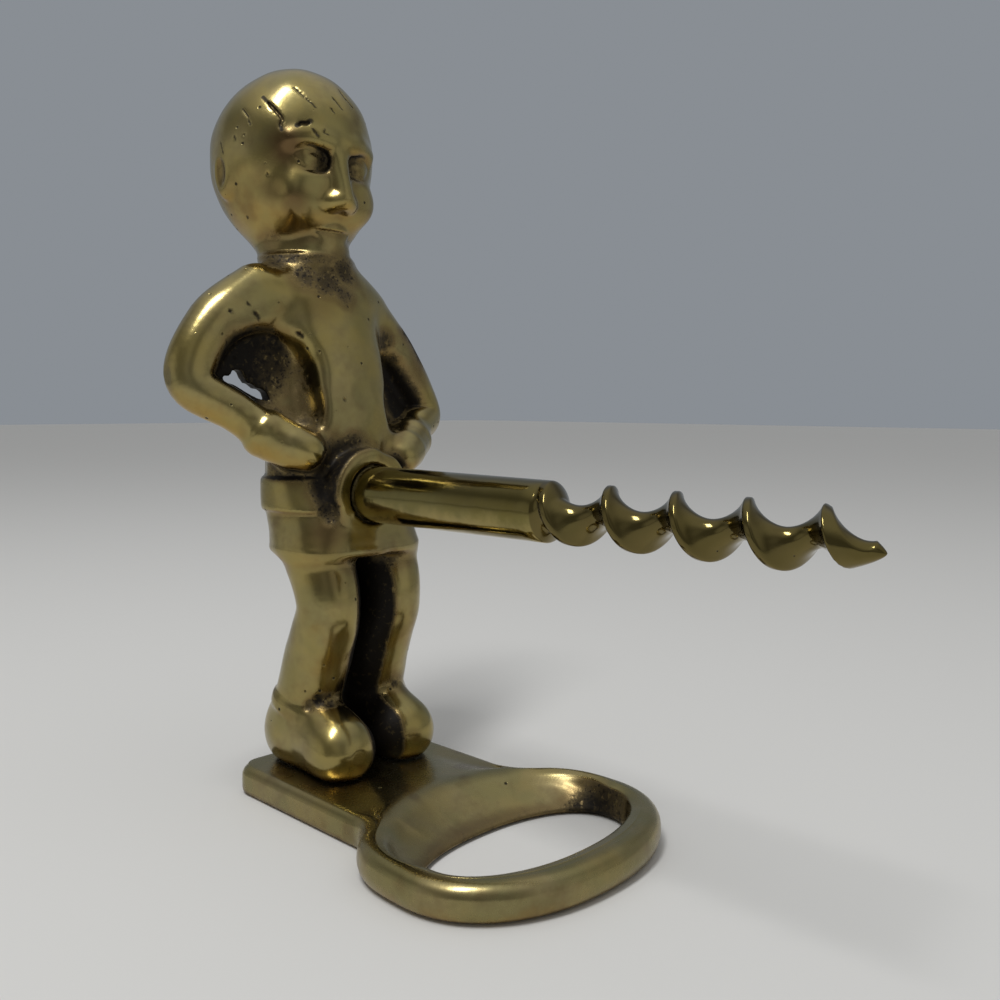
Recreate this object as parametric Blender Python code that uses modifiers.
"""A figural brass corkscrew with a cap lifter, as separate solid pieces.

A standing steward in smock, belt, trousers and shoes is one casting. It stands on a cast plate that widens
into an oval cap lifter. A turned rod with a milled worm is let into the round boss at the steward's belt.
Two countersunk screws hold the figure to the plate from below.

Units are metres. +Z is up, the worm points towards -Y, and the figure's left hand is at +X. The origin is on
the underside of the plate, below the middle of its solid part.
"""

import math

import bmesh
import bpy
from mathutils import Matrix, Vector

OBJECT_NAME = "figural_corkscrew"

# Fits and tools
SEAT_GAP = 0.0003
CUT_OVERRUN = 0.002
ROUND_SIDES = 28

# Base plate and cap lifter
PLATE_WIDTH = 0.0300
PLATE_BACK = 0.0156
PLATE_THICKNESS = 0.0043
PLATE_CORNER_RADIUS = 0.0040
NECK_PLACE = 0.0140
NECK_FILLET_LENGTH = 0.0056
EDGE_ROUNDING = 0.0013
LOOP_ROUNDING = 0.0021
FOOT_ROUNDING = 0.0005
LOOP_FOOT_ROUNDING = 0.0018
LOOP_WIDTH = 0.0438
LOOP_LENGTH = 0.0324
LOOP_CENTRE_PLACE = 0.0326
LOOP_HEIGHT = 0.0050
OPENING_WIDTH = 0.0344
OPENING_LENGTH = 0.0182
OPENING_CENTRE_PLACE = 0.0342
BACK_WALL_SLOPE = 0.0078
BAR_WALL_SLOPE = 0.0007
OVAL_POWER = 2.2
LEFT_SHOULDER_POWER = 2.6
RIGHT_SHOULDER_POWER = 3.0
BASE_STATIONS = 84

# Worm
SHANK_DIAMETER = 0.0086
WORM_DIAMETER = 0.0081
WORM_END_DIAMETER = 0.0073
WORM_PITCH = 0.00995
WORM_END_PITCH = 0.0087
WORM_CREST_WIDTH = 0.0009
WORM_GROOVE_DEPTH = 0.0028
SHANK_LENGTH = 0.0353
WORM_LENGTH = 0.0440
POINT_LENGTH = 0.0068
POINT_FULLNESS_SHARE = 0.72
POINT_DROP = 0.0008
RUN_IN_LENGTH = 0.0026
SPIGOT_DIAMETER = 0.0050
SPIGOT_LENGTH = 0.0090
SHANK_SEAT_DEPTH = 0.0010
WORM_SIDES = 20
STATIONS_PER_TURN = 18

# Foot screws
SCREW_DIAMETER = 0.0030
SCREW_HEAD_DIAMETER = 0.0056
SCREW_REACH = 0.0065
SCREW_SLOT_WIDTH = 0.0007
SCREW_SLOT_DEPTH = 0.0008
SCREW_HEAD_INSET = 0.0003

# Figure
FIGURE_HEIGHT = 0.1088
STANCE_WIDTH = 0.0130
STANCE_PLACE = 0.0072
ELBOW_SPAN = 0.0456
SHOULDER_SPAN = 0.0218
WRIST_SPAN = 0.0262
SMOCK_WIDTH = 0.0250
SMOCK_DEPTH = 0.0172
HEAD_WIDTH = 0.0248
HEAD_DEPTH = 0.0254
HEAD_HEIGHT = 0.0310
NECK_DIAMETER = 0.0124
UPPER_ARM_DIAMETER = 0.0080
WRIST_DIAMETER = 0.0060
TROUSER_DIAMETER = 0.0104
KNEE_DIAMETER = 0.0097
ANKLE_DIAMETER = 0.0098
CUFF_PROUD = 0.0006
COLLAR_DIAMETER = 0.0156
COLLAR_HEIGHT = 0.0020
SHOE_LENGTH = 0.0208
SHOE_PLACE = 0.0042
LEFT_SHOE_BACK = 0.0010
SHOE_WIDTH = 0.0102
SHOE_HEIGHT = 0.0090
WEB_THICKNESS = 0.0024
HOLLOW_WIDTH = 0.0160
HOLLOW_DEPTH = 0.0185
HOLLOW_HEIGHT = 0.0180
WEB_HOLE_LENGTH = 0.0072
BELT_WIDTH = 0.0052
BELT_PROUD = 0.0007
BOSS_DIAMETER = 0.0142
BOSS_FACE_PLACE = 0.0020
CLAY_VOXEL_SHARE = 0.0072
FIGURE_TRIANGLES = 6400

# Worked out from the sizes above
SOLE_HEIGHT = PLATE_THICKNESS + SEAT_GAP
BELT_HEIGHT_SHARE = 0.3911
WORM_AXIS_HEIGHT = SOLE_HEIGHT + BELT_HEIGHT_SHARE * FIGURE_HEIGHT
BORE_DIAMETER = SPIGOT_DIAMETER + 2 * SEAT_GAP
SHANK_SEAT_DIAMETER = SHANK_DIAMETER + 2 * SEAT_GAP
SCREW_HOLE_DIAMETER = SCREW_DIAMETER + 2 * SEAT_GAP
SCREW_HEAD_HEIGHT = (SCREW_HEAD_DIAMETER - SCREW_DIAMETER) / 2
SIDES = {"right": -1, "left": 1}


def clear_scene():
    """Removes whatever the file holds before the model is made."""
    for obj in list(bpy.data.objects):
        bpy.data.objects.remove(obj, do_unlink=True)


def new_collection(name):
    collection = bpy.data.collections.new(name)
    bpy.context.scene.collection.children.link(collection)
    return collection


def make_brass(name, colour, roughness):
    material = bpy.data.materials.new(name)
    material.use_nodes = True
    shader = material.node_tree.nodes["Principled BSDF"]
    shader.inputs["Base Color"].default_value = (*colour, 1.0)
    shader.inputs["Metallic"].default_value = 1.0
    shader.inputs["Roughness"].default_value = roughness
    return material


def object_from_bmesh(name, mesh, collection):
    data = bpy.data.meshes.new(name)
    bmesh.ops.recalc_face_normals(mesh, faces=mesh.faces)
    mesh.to_mesh(data)
    mesh.free()
    obj = bpy.data.objects.new(name, data)
    collection.objects.link(obj)
    return obj


def finish_piece(obj, material):
    """Gives a piece its material and smooth shading that breaks at its sharp edges."""
    obj.data.materials.clear()
    obj.data.materials.append(material)
    obj.data.shade_smooth()
    obj.data.set_sharp_from_angle(angle=math.radians(38))


def mesh_from_evaluated(obj, name, collection):
    """A new mesh object with the modifiers of obj applied. The old object is removed."""
    graph = bpy.context.evaluated_depsgraph_get()
    data = bpy.data.meshes.new_from_object(obj.evaluated_get(graph))
    made = bpy.data.objects.new(name, data)
    made.matrix_world = obj.matrix_world.copy()
    collection.objects.link(made)
    bpy.data.objects.remove(obj, do_unlink=True)
    return made


def as_cutter(obj):
    obj.hide_render = True
    obj.display_type = "WIRE"
    return obj


def add_boolean(obj, other, operation, solver="EXACT"):
    modifier = obj.modifiers.new(operation.lower() + "_" + other.name, "BOOLEAN")
    modifier.operation = operation
    modifier.solver = solver
    modifier.object = other


def turned_solid(name, profile, collection):
    """A solid turned about +Z from (radius, height) points that run down the outer side.

    The first and the last point are on the axis.
    """
    data = bpy.data.meshes.new(name)
    edges = [(i, i + 1) for i in range(len(profile) - 1)]
    data.from_pydata([(radius, 0, height) for radius, height in profile], edges, [])
    obj = bpy.data.objects.new(name, data)
    collection.objects.link(obj)
    lathe = obj.modifiers.new("lathe", "SCREW")
    lathe.axis = "Z"
    lathe.steps = ROUND_SIDES
    lathe.render_steps = ROUND_SIDES
    lathe.use_merge_vertices = True
    lathe.merge_threshold = SEAT_GAP / 30
    return obj


def rounded_oval(angle, half_width, half_length, centre_place, power=OVAL_POWER):
    """A point of a slightly squared oval in plan. Angle 0 is at +X, and a place is counted towards -Y."""
    cosine = math.cos(angle)
    sine = math.sin(angle)
    reach_x = math.copysign(abs(cosine) ** (2 / power), cosine)
    reach_y = math.copysign(abs(sine) ** (2 / power), sine)
    return Vector((half_width * reach_x, half_length * reach_y - centre_place))


def plate_half_outline(steps, shoulder_power):
    """Half of the outline in plan, from the middle of the back edge to the middle of the loop's front.

    It is drawn at +X. The loop was filed by hand, so its two shoulders are not squared alike.
    """
    half_width = PLATE_WIDTH / 2
    points = [Vector((0, PLATE_BACK)), Vector(((half_width - PLATE_CORNER_RADIUS) / 2, PLATE_BACK))]
    corner = Vector((half_width - PLATE_CORNER_RADIUS, PLATE_BACK - PLATE_CORNER_RADIUS))
    corner_steps = 5
    for step in range(corner_steps + 1):
        angle = math.pi / 2 * (1 - step / corner_steps)
        points.append(corner + PLATE_CORNER_RADIUS * Vector((math.cos(angle), math.sin(angle))))
    side_top = points[-1].y
    side_steps = 5
    for step in range(1, side_steps + 1):
        points.append(Vector((half_width, side_top + (-NECK_PLACE - side_top) * step / side_steps)))

    def loop_point(angle):
        power = shoulder_power if angle > 0 else OVAL_POWER
        return rounded_oval(angle, LOOP_WIDTH / 2, LOOP_LENGTH / 2, LOOP_CENTRE_PLACE, power)

    landing_angle = math.radians(42)
    while loop_point(landing_angle).y > -NECK_PLACE - NECK_FILLET_LENGTH:
        landing_angle -= math.radians(1)
    landing = loop_point(landing_angle)
    before = loop_point(landing_angle + math.radians(1))
    start = points[-1].copy()
    run_out = (landing - before).normalized() * NECK_FILLET_LENGTH / 2
    drop = Vector((0, -NECK_FILLET_LENGTH / 2))
    fillet_steps = 6
    for step in range(1, fillet_steps + 1):
        t = step / fillet_steps
        controls = (start, start + drop, landing - run_out, landing)
        weights = ((1 - t) ** 3, 3 * t * (1 - t) ** 2, 3 * t * t * (1 - t), t ** 3)
        points.append(sum((w * c for w, c in zip(weights, controls)), Vector((0, 0))))
    loop_steps = steps - len(points)
    for step in range(1, loop_steps + 1):
        points.append(loop_point(landing_angle + (-math.pi / 2 - landing_angle) * step / loop_steps))
    return points


def base_section(edge, inward, toward_plate):
    """One section of the base, from the outer foot over the top and down the opening's wall.

    Args are the outline's point, the unit direction across the outline, and how far the section lies on the
    plate: 1 behind the opening, 0 on the loop's bar.
    """
    top = LOOP_HEIGHT
    rounding = EDGE_ROUNDING * toward_plate + LOOP_ROUNDING * (1 - toward_plate)
    plate_top = PLATE_THICKNESS * toward_plate + LOOP_HEIGHT * (1 - toward_plate)
    aim = edge - Vector((0, -OPENING_CENTRE_PLACE))
    angle = math.atan2(aim.y / OPENING_LENGTH, aim.x / OPENING_WIDTH)
    foot = rounded_oval(angle, OPENING_WIDTH / 2, OPENING_LENGTH / 2, OPENING_CENTRE_PLACE)
    slope = BAR_WALL_SLOPE + (BACK_WALL_SLOPE - BAR_WALL_SLOPE) * max(0, math.sin(angle)) ** 1.3
    outward = (edge - foot).normalized()
    rim = foot + outward * slope
    valley_share = 0.42
    valley = rim + (edge - rim) * valley_share
    crest = rim + outward * min(EDGE_ROUNDING * 1.5, (edge - rim).length / 3)
    shoulder = edge + inward * rounding
    outer_foot = FOOT_ROUNDING * toward_plate + LOOP_FOOT_ROUNDING * (1 - toward_plate)
    midway_share = 1 - math.sqrt(0.5)
    points = [
        (edge + inward * outer_foot, 0),
        (edge + inward * outer_foot * midway_share, outer_foot * midway_share),
        (edge, outer_foot),
    ]
    for degrees in (0, 30, 60, 90):
        angle = math.radians(degrees)
        across = rounding * (1 - math.cos(angle))
        points.append((edge + inward * across, plate_top - rounding * (1 - math.sin(angle))))
    points += [
        (shoulder.lerp(valley, 1 / 2), plate_top),
        (valley, plate_top),
        (valley.lerp(crest, 1 / 2), (plate_top + top) / 2),
        (crest, top),
        (rim, top - rounding / 4),
        (rim.lerp(foot, 1 / 4), top - rounding * 0.9),
        (rim.lerp(foot, 2 / 3), top * 0.36),
        (foot, FOOT_ROUNDING),
        (foot + outward * FOOT_ROUNDING, 0),
    ]
    return [Vector((spot.x, spot.y, height)) for spot, height in points]


def build_opener_base(collection, cutters):
    """The plate and the cap lifter: unlike sections lofted once round the opening."""
    left = plate_half_outline(BASE_STATIONS // 2, LEFT_SHOULDER_POWER)
    right = plate_half_outline(BASE_STATIONS // 2, RIGHT_SHOULDER_POWER)
    outline = left + [Vector((-p.x, p.y)) for p in reversed(right[1:-1])]
    count = len(outline)
    mesh = bmesh.new()
    rings = []
    for index, edge in enumerate(outline):
        along = (outline[(index + 1) % count] - outline[index - 1]).normalized()
        inward = Vector((along.y, -along.x))
        if inward.dot(Vector((0, -OPENING_CENTRE_PLACE)) - edge) < 0:
            inward.negate()
        blend = (edge.y + NECK_PLACE + NECK_FILLET_LENGTH) / NECK_FILLET_LENGTH
        toward_plate = min(1, max(0, blend))
        rings.append([mesh.verts.new(point) for point in base_section(edge, inward, toward_plate)])
    for index, ring in enumerate(rings):
        following = rings[(index + 1) % count]
        for step in range(len(ring)):
            after = (step + 1) % len(ring)
            mesh.faces.new((ring[step], ring[after], following[after], following[step]))
    base = object_from_bmesh("opener_base", mesh, collection)
    for name, side in SIDES.items():
        hole = turned_solid("screw_hole_" + name, screw_hole_profile(), cutters)
        hole.location = screw_place(side)
        add_boolean(base, as_cutter(hole), "DIFFERENCE")
    return base


def screw_place(side):
    return Vector((side * STANCE_WIDTH / 2, STANCE_PLACE, 0))


def screw_hole_profile():
    hole = SCREW_HOLE_DIAMETER / 2
    head = SCREW_HEAD_DIAMETER / 2 + SEAT_GAP
    head_top = SCREW_HEAD_INSET + SCREW_HEAD_HEIGHT
    return [
        (0, PLATE_THICKNESS + CUT_OVERRUN),
        (hole, PLATE_THICKNESS + CUT_OVERRUN),
        (hole, head_top),
        (head, SCREW_HEAD_INSET),
        (head, -CUT_OVERRUN),
        (0, -CUT_OVERRUN),
    ]


def build_foot_screw(name, side, collection, cutters):
    """A countersunk slotted screw: its shank, cone and flat head, turned about Z."""
    shank = SCREW_DIAMETER / 2
    head_top = SCREW_HEAD_INSET + SCREW_HEAD_HEIGHT
    tip = SOLE_HEIGHT + SCREW_REACH
    chamfer = SCREW_DIAMETER / 6
    profile = [
        (0, tip),
        (shank - chamfer, tip),
        (shank, tip - chamfer),
        (shank, head_top),
        (SCREW_HEAD_DIAMETER / 2, SCREW_HEAD_INSET + SEAT_GAP),
        (SCREW_HEAD_DIAMETER / 2, SCREW_HEAD_INSET),
        (0, SCREW_HEAD_INSET),
    ]
    lathe = turned_solid("turned_" + name, profile, collection)
    screw = mesh_from_evaluated(lathe, name, collection)
    screw.location = screw_place(side)
    mesh = bmesh.new()
    bmesh.ops.create_cube(mesh, size=1)
    scale = Matrix.Diagonal((SCREW_HEAD_DIAMETER + CUT_OVERRUN, SCREW_SLOT_WIDTH, 2 * SCREW_SLOT_DEPTH, 1))
    bmesh.ops.transform(mesh, matrix=scale, verts=mesh.verts)
    slot = object_from_bmesh("slot_" + name, mesh, cutters)
    slot.location = screw_place(side) + Vector((0, 0, SCREW_HEAD_INSET))
    slot.rotation_euler.z = math.radians(25) * side
    add_boolean(screw, as_cutter(slot), "DIFFERENCE")
    return screw


def turns_at(past_shank):
    """How many turns the worm has made at a distance from its start. Its pitch eases towards the point."""
    easing = (WORM_END_PITCH - WORM_PITCH) / WORM_LENGTH
    if abs(easing) < 1e-6:
        return past_shank / WORM_PITCH
    return math.log(1 + easing * past_shank / WORM_PITCH) / easing


def rod_radius(along):
    """The uncut rod's radius, which tapers a little from the boss to the point."""
    if along < SHANK_LENGTH:
        return (SHANK_DIAMETER + (WORM_DIAMETER - SHANK_DIAMETER) * max(0, along) / SHANK_LENGTH) / 2
    down = (along - SHANK_LENGTH) / WORM_LENGTH
    return (WORM_DIAMETER + (WORM_END_DIAMETER - WORM_DIAMETER) * down) / 2


def groove_depth(turn_share, radius):
    """How deep a round milling cutter has gone at a share of a turn from the worm's crest."""
    from_crest = WORM_PITCH * min(turn_share % 1, 1 - turn_share % 1)
    half_crest = WORM_CREST_WIDTH / 2
    if from_crest <= half_crest:
        return 0
    half_groove = WORM_PITCH / 2 - half_crest
    depth = min(WORM_GROOVE_DEPTH, 0.86 * radius)
    cutter = (half_groove ** 2 + depth ** 2) / (2 * depth)
    across = half_groove - (from_crest - half_crest)
    return depth - cutter + math.sqrt(max(0, cutter ** 2 - across ** 2))


def worm_section(along, angle):
    """The rod's radius at a distance from the boss face and an angle about its axis."""
    past_shank = along - SHANK_LENGTH
    radius = rod_radius(along)
    phase = turns_at(past_shank) - angle / (2 * math.pi)
    cut = min(1, max(0, past_shank / RUN_IN_LENGTH))
    from_tip = SHANK_LENGTH + WORM_LENGTH - along
    point = radius * min(1, max(0, from_tip / POINT_LENGTH)) ** POINT_FULLNESS_SHARE
    return min(radius - cut * groove_depth(phase, radius), point)


def tip_drop(along):
    """The point is ground mostly from above, which leaves its tip a little below the rod's axis."""
    into_point = 1 - (SHANK_LENGTH + WORM_LENGTH - along) / POINT_LENGTH
    return Vector((0, 0, -POINT_DROP * max(0, into_point)))


def build_worm(collection):
    """The turned rod: spigot, shank, milled worm and ground point, as one skin of rings along -Y."""
    mesh = bmesh.new()
    start = -BOSS_FACE_PLACE
    centre = Vector((0, start, WORM_AXIS_HEIGHT))

    def ring(along, radius_at):
        verts = []
        for side in range(WORM_SIDES):
            angle = 2 * math.pi * side / WORM_SIDES
            radius = radius_at(angle)
            offset = Vector((-radius * math.sin(angle), -along, radius * math.cos(angle)))
            verts.append(mesh.verts.new(centre + offset + tip_drop(along)))
        return verts

    spigot = SPIGOT_DIAMETER / 2
    shank = SHANK_DIAMETER / 2
    seat = SHANK_SEAT_DEPTH - SEAT_GAP
    chamfer = SPIGOT_DIAMETER / 10
    rings = [
        ring(-seat - SPIGOT_LENGTH, lambda angle: spigot - chamfer),
        ring(-seat - SPIGOT_LENGTH + chamfer, lambda angle: spigot),
        ring(-seat, lambda angle: spigot),
        ring(-seat, lambda angle: shank - SEAT_GAP),
        ring(SEAT_GAP - seat, lambda angle: shank),
        ring(0, lambda angle: shank),
    ]
    stations = round(STATIONS_PER_TURN * WORM_LENGTH / WORM_PITCH)
    for station in range(stations):
        along = SHANK_LENGTH + WORM_LENGTH * station / stations
        rings.append(ring(along, lambda angle, along=along: worm_section(along, angle)))
    end = SHANK_LENGTH + WORM_LENGTH
    tip = mesh.verts.new(centre + Vector((0, -end, 0)) + tip_drop(end))
    mesh.faces.new(rings[0])
    for first, second in zip(rings, rings[1:]):
        for side in range(WORM_SIDES):
            after = (side + 1) % WORM_SIDES
            mesh.faces.new((first[side], first[after], second[after], second[side]))
    for side in range(WORM_SIDES):
        mesh.faces.new((rings[-1][side], rings[-1][(side + 1) % WORM_SIDES], tip))
    return object_from_bmesh("worm", mesh, collection)


def figure_point(x, y, height_share):
    """A place on the figure: across, forward or back in metres, and up as a share of its height."""
    return Vector((x, y, SOLE_HEIGHT + height_share * FIGURE_HEIGHT))


def clay_ball(centre, size, tilt=0.0):
    """An ellipsoid of clay, tilted about the X axis."""
    mesh = bmesh.new()
    bmesh.ops.create_icosphere(mesh, subdivisions=4, radius=1)
    shape = Matrix.Translation(centre) @ Matrix.Rotation(tilt, 4, "X") @ Matrix.Diagonal((*(size / 2), 1))
    bmesh.ops.transform(mesh, matrix=shape, verts=mesh.verts)
    return mesh


def clay_loft(sections, power=2.3, sides=40):
    """A body of clay through level oval sections (centre, half width, half depth), lowest first."""
    mesh = bmesh.new()
    rings = []
    for centre, half_width, half_depth in sections:
        ring = []
        for side in range(sides):
            angle = 2 * math.pi * side / sides
            cosine = math.cos(angle)
            sine = math.sin(angle)
            x = half_width * math.copysign(abs(cosine) ** (2 / power), cosine)
            y = half_depth * math.copysign(abs(sine) ** (2 / power), sine)
            ring.append(mesh.verts.new(centre + Vector((x, y, 0))))
        rings.append(ring)
    mesh.faces.new(rings[0])
    mesh.faces.new(rings[-1])
    for first, second in zip(rings, rings[1:]):
        for side in range(sides):
            after = (side + 1) % sides
            mesh.faces.new((first[side], first[after], second[after], second[side]))
    bmesh.ops.recalc_face_normals(mesh, faces=mesh.faces)
    return mesh


def clay_limb(points, diameters, sides=20, steps=8):
    """A tapered limb of clay along a smooth path, closed with a ball at each end."""
    mesh = bmesh.new()
    path = []
    for index in range(len(points) - 1):
        before = points[max(0, index - 1)]
        after = points[min(len(points) - 1, index + 2)]
        for step in range(steps):
            t = step / steps
            spot = catmull_rom(before, points[index], points[index + 1], after, t)
            width = diameters[index] + (diameters[index + 1] - diameters[index]) * t
            path.append((spot, width / 2))
    path.append((points[-1], diameters[-1] / 2))
    for spot, radius in path:
        bmesh.ops.create_icosphere(mesh, subdivisions=3, radius=radius, matrix=Matrix.Translation(spot))
    return mesh


def catmull_rom(p0, p1, p2, p3, t):
    linear = (p2 - p0) * t
    square = (2 * p0 - 5 * p1 + 4 * p2 - p3) * t * t
    cube = (3 * p1 - p0 - 3 * p2 + p3) * t ** 3
    return p1 + (linear + square + cube) / 2


def lean(height_share):
    """How far back the figure's middle is at a height: belly forward, shoulders and head back."""
    place = STANCE_PLACE
    swing_shares = [
        # height, swing back
        (0.0, -0.20),
        (0.29, -0.30),
        (0.33, -0.20),
        (0.40, 0.15),
        (0.52, 0.27),
        (0.68, 0.75),
        (0.76, 1.25),
        (0.90, 1.58),
        (1.0, 1.66),
    ]
    for (low, swing_low), (high, swing_high) in zip(swing_shares, swing_shares[1:]):
        if height_share <= high:
            t = (height_share - low) / (high - low)
            return place * (1 + swing_low + (swing_high - swing_low) * t)
    return place * (1 + swing_shares[-1][1])


def smock_clay():
    """The smock: skirt, belt waist, belly and chest, as shares of its greatest width and depth."""
    section_shares = [
        # height, half width, half depth
        (0.306, 0.455, 0.500),
        (0.312, 0.470, 0.515),
        (0.340, 0.475, 0.515),
        (0.375, 0.470, 0.495),
        (0.412, 0.455, 0.455),
        (0.450, 0.44, 0.44),
        (0.500, 0.42, 0.45),
        (0.560, 0.39, 0.44),
        (0.620, 0.385, 0.42),
        (0.670, 0.40, 0.40),
        (0.710, 0.36, 0.34),
        (0.735, 0.22, 0.26),
    ]
    sections = []
    for height, width, depth in section_shares:
        centre = figure_point(0, lean(height), height)
        sections.append((centre, width * SMOCK_WIDTH, depth * SMOCK_DEPTH))
    return clay_loft(sections)


def arm_side_hollow(side):
    """Two balls, a large and a small one, that scoop out the smock's side where the arm stands off it."""
    right = side < 0
    width_share = 1.0 if right else 0.75
    small_share = 1.0 if right else 0.85
    large_height_share = 0.560
    small_height_share = 0.512
    large_size = Vector((HOLLOW_WIDTH * width_share, HOLLOW_DEPTH * width_share, HOLLOW_HEIGHT))
    small_size = Vector((HOLLOW_WIDTH, HOLLOW_DEPTH, HOLLOW_HEIGHT)) * small_share * 0.55
    large = figure_point(side * SMOCK_WIDTH * 0.545, lean(0.555) - SMOCK_DEPTH * 0.36, large_height_share)
    small = figure_point(side * SMOCK_WIDTH * 0.40, lean(0.50) - SMOCK_DEPTH * 0.34, small_height_share)
    return [clay_ball(large, large_size), clay_ball(small, small_size)]


def hollowed_smock_clay(cutters):
    """The smock with a hollow scooped out of each side."""
    smock = object_from_bmesh("smock", smock_clay(), cutters)
    for name, side in SIDES.items():
        for number, ball in enumerate(arm_side_hollow(side)):
            cutter = object_from_bmesh("hollow_{}_{}".format(name, number), ball, cutters)
            add_boolean(smock, as_cutter(cutter), "DIFFERENCE")
    hollowed = mesh_from_evaluated(smock, "hollowed_smock", cutters)
    mesh = bmesh.new()
    mesh.from_mesh(hollowed.data)
    bpy.data.objects.remove(hollowed, do_unlink=True)
    return mesh


def belt_clay():
    """The belt, standing proud of the smock's waist."""
    spread_share = BELT_WIDTH / 2 / FIGURE_HEIGHT
    half_width = 0.475 * SMOCK_WIDTH + BELT_PROUD
    half_depth = 0.480 * SMOCK_DEPTH + BELT_PROUD
    sections = []
    for step, inset in ((-1, BELT_PROUD), (-0.8, 0), (0.8, 0), (1, BELT_PROUD)):
        centre = figure_point(0, lean(BELT_HEIGHT_SHARE), BELT_HEIGHT_SHARE + step * spread_share)
        sections.append((centre, half_width - inset, half_depth - inset))
    return clay_loft(sections)


def collar_clay():
    """The smock's round collar, standing a little proud of the shoulders."""
    middle_share = 0.725
    spread_share = COLLAR_HEIGHT / 2 / FIGURE_HEIGHT
    depth_share = 0.86
    sections = []
    for step, inset in ((-1.6, 0), (-0.6, 0), (0.6, 0.3), (1, 1)):
        height_share = middle_share + step * spread_share
        centre = figure_point(0, lean(height_share), height_share)
        half = COLLAR_DIAMETER / 2 - inset * COLLAR_HEIGHT / 2
        sections.append((centre, half, half * depth_share))
    return clay_loft(sections, power=2.0)


def head_place(forward_share, up_share, side_share=0):
    """A place in the head, in shares of its depth, height and width from the middle of the cranium."""
    middle_share = 0.435
    middle = Vector((0, lean(0.9), SOLE_HEIGHT + FIGURE_HEIGHT - HEAD_HEIGHT * middle_share))
    return middle + Vector((side_share * HEAD_WIDTH, -forward_share * HEAD_DEPTH, up_share * HEAD_HEIGHT))


def head_ball(forward_share, up_share, size_shares, side_share=0, tilt=0.0):
    """One rounded form of the head. Its size is given in shares of the head's width, depth and height."""
    width_share, depth_share, height_share = size_shares
    size = Vector((HEAD_WIDTH * width_share, HEAD_DEPTH * depth_share, HEAD_HEIGHT * height_share))
    return clay_ball(head_place(forward_share, up_share, side_share), size, tilt)


def head_clay():
    """The head: a wide cranium over a narrower jaw, a plain nose, ears, and the neck below."""
    parts = [
        head_ball(0.020, -0.010, (1.02, 1.04, 0.90), tilt=math.radians(15)),  # cranium
        head_ball(0.11, 0.070, (0.86, 0.82, 0.74)),  # forehead
        head_ball(0.100, -0.225, (0.80, 0.81, 0.62)),  # jaw
        head_ball(0.49, -0.235, (0.15, 0.15, 0.20)),  # nose
    ]
    for side in SIDES.values():
        parts.append(head_ball(-0.03, -0.13, (0.11, 0.17, 0.22), side_share=side * 0.475))
    neck_foot_share = 0.69
    neck_foot = figure_point(0, lean(0.74), neck_foot_share)
    parts.append(clay_limb([neck_foot, head_place(-0.025, -0.27)], [NECK_DIAMETER * 1.2, NECK_DIAMETER]))
    return parts


def arm_places(side):
    """Shoulder, elbow, wrist and knuckles of one arm, hand on hip. The left arm hangs a little lower."""
    right_arm_shares = [(1.0, 0.672), (1.0, 0.549), (1.0, 0.472)]
    left_arm_shares = [(0.86, 0.652), (0.95, 0.506), (1.06, 0.460)]
    shoulder_shares, elbow_shares, wrist_shares = right_arm_shares if side < 0 else left_arm_shares
    knuckle_height_share = wrist_shares[1] - 0.020
    shoulder = figure_point(side * SHOULDER_SPAN / 2 * shoulder_shares[0], lean(0.68), shoulder_shares[1])
    elbow = figure_point(side * ELBOW_SPAN / 2 * elbow_shares[0], STANCE_PLACE * 1.66, elbow_shares[1])
    wrist = figure_point(side * WRIST_SPAN / 2 * wrist_shares[0], STANCE_PLACE * 0.86, wrist_shares[1])
    knuckles = figure_point(side * SMOCK_WIDTH * 0.37, STANCE_PLACE * 0.32, knuckle_height_share)
    return shoulder, elbow, wrist, knuckles


def arm_clay(side):
    """Sleeve, cuff and hand of one arm."""
    shoulder, elbow, wrist, knuckles = arm_places(side)
    fullness_share = 0.20 if side < 0 else 0.08
    fullness = UPPER_ARM_DIAMETER * fullness_share
    upper = shoulder.lerp(elbow, 0.5) + Vector((side * fullness, 0, fullness))
    forearm = elbow.lerp(wrist, 0.55)
    sleeve_shares = [1.08, 1.0, 0.86, 0.74, 0.74]
    widths = [UPPER_ARM_DIAMETER * share for share in sleeve_shares]
    sleeve = clay_limb([shoulder, upper, elbow, forearm, wrist], widths)
    cuff_width = WRIST_DIAMETER + 2 * CUFF_PROUD
    cuff = clay_limb([elbow.lerp(wrist, 0.86), elbow.lerp(wrist, 0.96)], [cuff_width, cuff_width], steps=2)
    palm = wrist.lerp(knuckles, 0.6)
    hand = clay_limb([wrist, palm, knuckles], [WRIST_DIAMETER, WRIST_DIAMETER * 1.06, WRIST_DIAMETER * 0.86])
    return [sleeve, cuff, hand]


def web_clay(corners, thickness):
    """A flat web of clay between corner points, with its thickness set off to the front and the back."""
    mesh = bmesh.new()
    half = Vector((0, thickness / 2, 0))
    front = [mesh.verts.new(corner - half) for corner in corners]
    back = [mesh.verts.new(corner + half) for corner in corners]
    mesh.faces.new(front)
    mesh.faces.new(back)
    for index in range(len(corners)):
        after = (index + 1) % len(corners)
        mesh.faces.new((front[index], front[after], back[after], back[index]))
    bmesh.ops.recalc_face_normals(mesh, faces=mesh.faces)
    return mesh


def body_point(side, spread_share, height_share):
    """A place inside the smock, off its middle towards one side."""
    return figure_point(side * SMOCK_WIDTH * spread_share, lean(height_share), height_share)


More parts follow.
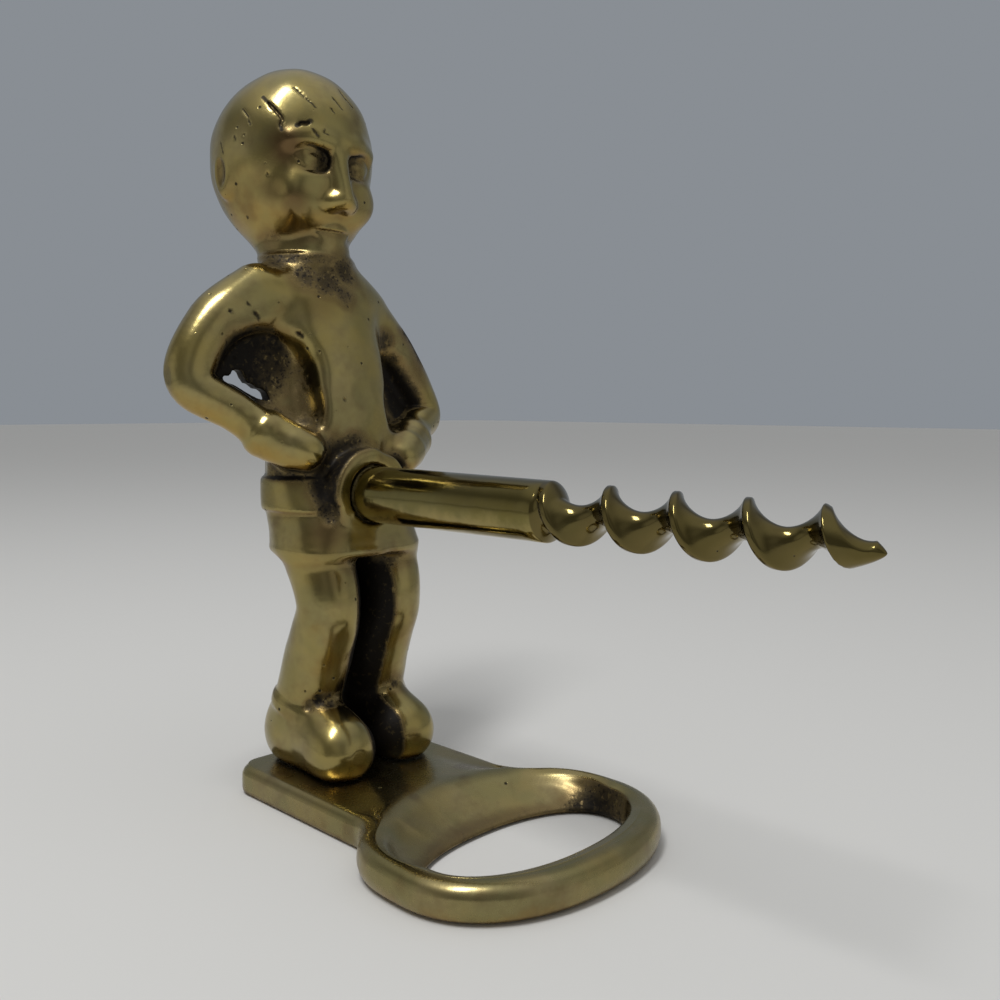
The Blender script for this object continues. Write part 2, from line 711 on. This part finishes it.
def arm_web_clay(side):
    """The metal between an arm and the body: full below the armpit, a thin web in the crook of the arm."""
    shoulder, elbow, wrist, _ = arm_places(side)
    back = Vector((0, UPPER_ARM_DIAMETER * 0.2, 0))
    wrist_back = wrist + Vector((0, STANCE_PLACE * 0.35, 0))
    top = body_point(side, 0.25, 0.66)
    flank = body_point(side, 0.28, 0.615)
    waist = body_point(side, 0.30, 0.455)
    armpit = shoulder.lerp(elbow, 0.40)
    thin = web_clay([top, shoulder + back, elbow + back, wrist_back, waist], WEB_THICKNESS)
    full = web_clay([top, shoulder, armpit, flank], UPPER_ARM_DIAMETER * 0.8)
    return [thin, full]


def leg_clay(side):
    """One trouser leg with a slightly bent knee, its turned-up cuff, and its rounded shoe."""
    leg_shares = [
        # spread of the stance, place along it, height, diameter
        (0.96, 0.55, 0.300, TROUSER_DIAMETER),
        (0.94, 0.26, 0.235, KNEE_DIAMETER),
        (0.90, 0.66, 0.165, TROUSER_DIAMETER),
        (0.98, 1.04, 0.085, TROUSER_DIAMETER),
        (1.00, 1.20, 0.050, ANKLE_DIAMETER),
    ]
    half_stance = side * STANCE_WIDTH / 2
    places = [figure_point(half_stance * x, STANCE_PLACE * y, z) for x, y, z, _ in leg_shares]
    leg = clay_limb(places, [diameter for *_, diameter in leg_shares])
    shin, ankle = places[2:4]
    cuff_width = TROUSER_DIAMETER + 2 * CUFF_PROUD
    cuff = clay_limb([shin.lerp(ankle, 0.88), ankle], [cuff_width, cuff_width], steps=2)
    shoe_shares = [
        # forward place, width, height of the top
        (-0.34, 0.86, 1.15),
        (-0.16, 0.90, 1.15),
        (0.02, 0.92, 1.18),
        (0.18, 0.98, 1.12),
        (0.31, 1.00, 0.95),
    ]
    parts = [leg, cuff]
    shoe_place = SHOE_PLACE + (LEFT_SHOE_BACK if side > 0 else 0)
    for forward, width, top in shoe_shares:
        size = Vector((SHOE_WIDTH * width, SHOE_LENGTH * 0.38, SHOE_HEIGHT * top * 1.12))
        middle_height = SOLE_HEIGHT + SHOE_HEIGHT * top * 0.44
        spot = Vector((half_stance, shoe_place - forward * SHOE_LENGTH, middle_height))
        parts.append(clay_ball(spot, size))
    return parts


def leg_web_clay():
    """The web of metal that closes the space between the legs, down into the soles' plane."""
    half_stance = STANCE_WIDTH / 2
    top_share = 0.31
    foot_share = -0.01
    foot_place = STANCE_PLACE * 1.2
    top_place = STANCE_PLACE * 1.1
    corners = [
        figure_point(-half_stance, foot_place, foot_share),
        figure_point(half_stance, foot_place, foot_share),
        figure_point(half_stance, top_place, top_share),
        figure_point(-half_stance, top_place, top_share),
    ]
    return web_clay(corners, WEB_THICKNESS)


def joined_clay(name, meshes, collection):
    """All lumps of clay in one object."""
    joined = bmesh.new()
    for mesh in meshes:
        data = bpy.data.meshes.new(name)
        mesh.to_mesh(data)
        mesh.free()
        joined.from_mesh(data)
        bpy.data.meshes.remove(data)
    data = bpy.data.meshes.new(name)
    joined.to_mesh(data)
    joined.free()
    obj = bpy.data.objects.new(name, data)
    collection.objects.link(obj)
    return obj


def blended_figure(name, meshes, collection):
    """The lumps of clay melted into one skin, softened, and thinned to an even count of triangles."""
    obj = joined_clay("clay", meshes, collection)
    remesh = obj.modifiers.new("melt", "REMESH")
    remesh.mode = "VOXEL"
    remesh.voxel_size = CLAY_VOXEL_SHARE * FIGURE_HEIGHT
    remesh.adaptivity = 0
    soften = obj.modifiers.new("soften", "SMOOTH")
    soften.factor = 0.5
    soften.iterations = 6
    skin = mesh_from_evaluated(obj, "skin", collection)
    skin.data.calc_loop_triangles()
    thin = skin.modifiers.new("thin", "DECIMATE")
    thin.ratio = min(1, FIGURE_TRIANGLES / len(skin.data.loop_triangles))
    thin.use_collapse_triangulate = True
    return mesh_from_evaluated(skin, name, collection)


def web_hole_cutter(cutters):
    """The ragged hole where the metal did not fill the right arm's thin web."""
    _, elbow, wrist, _ = arm_places(SIDES["right"])
    clear_of_sleeve = UPPER_ARM_DIAMETER * 0.78
    centre = elbow.lerp(wrist, 0.82) + Vector((0, STANCE_PLACE * 0.6, clear_of_sleeve))
    along = (wrist - elbow).normalized()
    edge_shares = [
        # run along the forearm, rise above it
        (-0.59, -0.24),
        (-0.39, -0.07),
        (-0.23, 0.17),
        (-0.07, 0.28),
        (0.07, 0.24),
        (0.17, 0.13),
        (0.45, 0.19),
        (0.69, 0.25),
        (0.77, 0.11),
        (0.03, -0.12),
        (-0.53, -0.28),
    ]
    corners = []
    for run, rise in edge_shares:
        spot = Vector((along.x * run, 0, along.z * run + rise)) * WEB_HOLE_LENGTH
        corners.append(centre + spot)
    cutter = web_clay(corners, UPPER_ARM_DIAMETER)
    return as_cutter(object_from_bmesh("web_hole", cutter, cutters))


def box_cutter(name, low, high, cutters):
    mesh = bmesh.new()
    bmesh.ops.create_cube(mesh, size=1)
    shape = Matrix.Translation((low + high) / 2) @ Matrix.Diagonal((*(high - low), 1))
    bmesh.ops.transform(mesh, matrix=shape, verts=mesh.verts)
    return as_cutter(object_from_bmesh(name, mesh, cutters))


def forward_turned(name, profile, cutters):
    """A turned helper on the worm's axis. Its heights are counted backwards from the boss face."""
    obj = turned_solid(name, profile, cutters)
    obj.rotation_euler.x = -math.pi / 2
    obj.location = Vector((0, -BOSS_FACE_PLACE, WORM_AXIS_HEIGHT))
    return as_cutter(obj)


def build_figure(collection, cutters):
    """The steward: soft clay forms melted together, then the crisp boss, its bore and the flat soles."""
    clay = [hollowed_smock_clay(cutters), belt_clay(), collar_clay(), leg_web_clay(), *head_clay()]
    for side in SIDES.values():
        clay += [*arm_clay(side), *arm_web_clay(side), *leg_clay(side)]
    figure = blended_figure("figure_casting", clay, collection)
    rounding = BOSS_DIAMETER / 16
    boss_back = STANCE_PLACE + BOSS_FACE_PLACE
    boss_profile = [
        (0, boss_back),
        (BOSS_DIAMETER / 2 + rounding, boss_back),
        (BOSS_DIAMETER / 2, rounding * 2),
        (BOSS_DIAMETER / 2 - rounding / 3, rounding / 2),
        (BOSS_DIAMETER / 2 - rounding, 0),
        (0, 0),
    ]
    cast_solver = "MANIFOLD"  # the exact solver opens seams in this fine skin
    add_boolean(figure, forward_turned("boss", boss_profile, cutters), "UNION", cast_solver)
    seat = SHANK_SEAT_DEPTH
    bore_end = seat + SPIGOT_LENGTH + 2 * SEAT_GAP
    bore_profile = [
        (0, bore_end),
        (BORE_DIAMETER / 2, bore_end),
        (BORE_DIAMETER / 2, seat),
        (SHANK_SEAT_DIAMETER / 2, seat),
        (SHANK_SEAT_DIAMETER / 2, -CUT_OVERRUN),
        (0, -CUT_OVERRUN),
    ]
    add_boolean(figure, forward_turned("spigot_bore", bore_profile, cutters), "DIFFERENCE", cast_solver)
    reach = FIGURE_HEIGHT
    add_boolean(figure, web_hole_cutter(cutters), "DIFFERENCE", cast_solver)
    low = Vector((-reach, -reach, SOLE_HEIGHT - reach))
    high = Vector((reach, reach, SOLE_HEIGHT))
    add_boolean(figure, box_cutter("sole_plane", low, high, cutters), "DIFFERENCE", cast_solver)
    for name, side in SIDES.items():
        hole_top = SOLE_HEIGHT + SCREW_REACH + SEAT_GAP
        hole_foot = SOLE_HEIGHT - CUT_OVERRUN
        hole = SCREW_HOLE_DIAMETER / 2
        profile = [(0, hole_top), (hole, hole_top), (hole, hole_foot), (0, hole_foot)]
        cutter = turned_solid("shoe_hole_" + name, profile, cutters)
        cutter.location = screw_place(side)
        add_boolean(figure, as_cutter(cutter), "DIFFERENCE", cast_solver)
    return figure


def main():
    clear_scene()
    pieces = new_collection(OBJECT_NAME)
    cutters = new_collection("cutters")
    cast_brass = make_brass("cast_brass", (0.36, 0.27, 0.10), 0.30)
    plate_brass = make_brass("plate_brass", (0.31, 0.23, 0.10), 0.36)
    turned_brass = make_brass("turned_brass", (0.38, 0.28, 0.07), 0.18)
    finish_piece(build_opener_base(pieces, cutters), plate_brass)
    finish_piece(build_figure(pieces, cutters), cast_brass)
    finish_piece(build_worm(pieces), turned_brass)
    for name, side in SIDES.items():
        finish_piece(build_foot_screw("foot_screw_" + name, side, pieces, cutters), turned_brass)


main()
